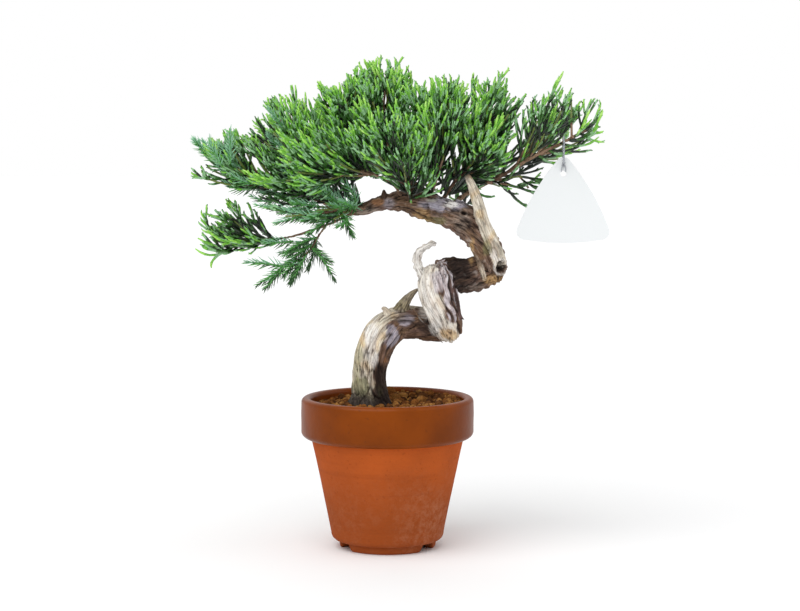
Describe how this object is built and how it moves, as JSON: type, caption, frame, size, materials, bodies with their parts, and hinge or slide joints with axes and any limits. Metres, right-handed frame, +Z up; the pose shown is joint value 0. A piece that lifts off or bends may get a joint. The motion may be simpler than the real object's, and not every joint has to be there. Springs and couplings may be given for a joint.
{
  "type": "juniper bonsai in a terracotta pot",
  "caption": "Small juniper trained as a bonsai: a twisted trunk with bare deadwood carries flat green masses over a terracotta pot, with a blank hang tag on a wire.",
  "frame": {"origin": "on the surface that the pot stands on, under the middle of the whole plant's outline; the pot's axis is 10.6 mm to its left and 15.3 mm in front of it", "axes": "+Z up, +X to the plant's right seen from its front, the front faces -Y"},
  "size_m": [0.3101, 0.1624, 0.3696],
  "materials": {
    "terracotta": "satin glaze on the rim band, bare matte clay below",
    "soil": "loose dry grit and clay lumps",
    "bark": "flaking, fibrous",
    "deadwood": "bleached, grooved along the grain",
    "foliage": "scale foliage, slightly waxy",
    "tag": "smooth, blank",
    "wire": "bright drawn wire"
  },
  "bodies": {
    "root": {"pot": "terracotta", "soil": "soil", "trunk_lower": "bark", "trunk_twist": "bark", "trunk_elbow": "bark", "trunk_upper": "bark", "trunk_top_limb": "bark", "bough_right": "bark", "bough_right_low": "bark", "bough_right_behind": "bark", "bough_crown_right": "bark", "bough_crown_inner": "bark", "bough_crown_mid": "bark", "bough_crown_peak": "bark", "bough_crown_left": "bark", "bough_crown_front": "bark", "bough_over_left": "bark", "bough_left_mid": "bark", "bough_far_left": "bark", "bough_low_left": "bark", "bough_hanging": "bark", "bough_low_front": "bark", "bough_back_left": "bark", "bough_back_centre_left": "bark", "bough_back_centre": "bark", "bough_back_right": "bark", "deadwood_spike": "deadwood", "deadwood_stub_white": "deadwood", "deadwood_stub_lower": "deadwood", "foliage_far_left": "foliage", "foliage_left_mid": "foliage", "foliage_left_front": "foliage", "foliage_low_left": "foliage", "foliage_hanging": "foliage", "foliage_low_front": "foliage", "foliage_crown_left": "foliage", "foliage_crown_peak": "foliage", "foliage_crown_front": "foliage", "foliage_crown_mid": "foliage", "foliage_crown_right": "foliage", "foliage_crown_inner": "foliage", "foliage_right": "foliage", "foliage_right_low": "foliage", "foliage_right_behind": "foliage", "foliage_back_left": "foliage", "foliage_back_centre_left": "foliage", "foliage_back_centre": "foliage", "foliage_back_right": "foliage", "foliage_limb_tip": "foliage", "name_tag": "tag", "tag_wire": "wire"}
  },
  "joints": []
}
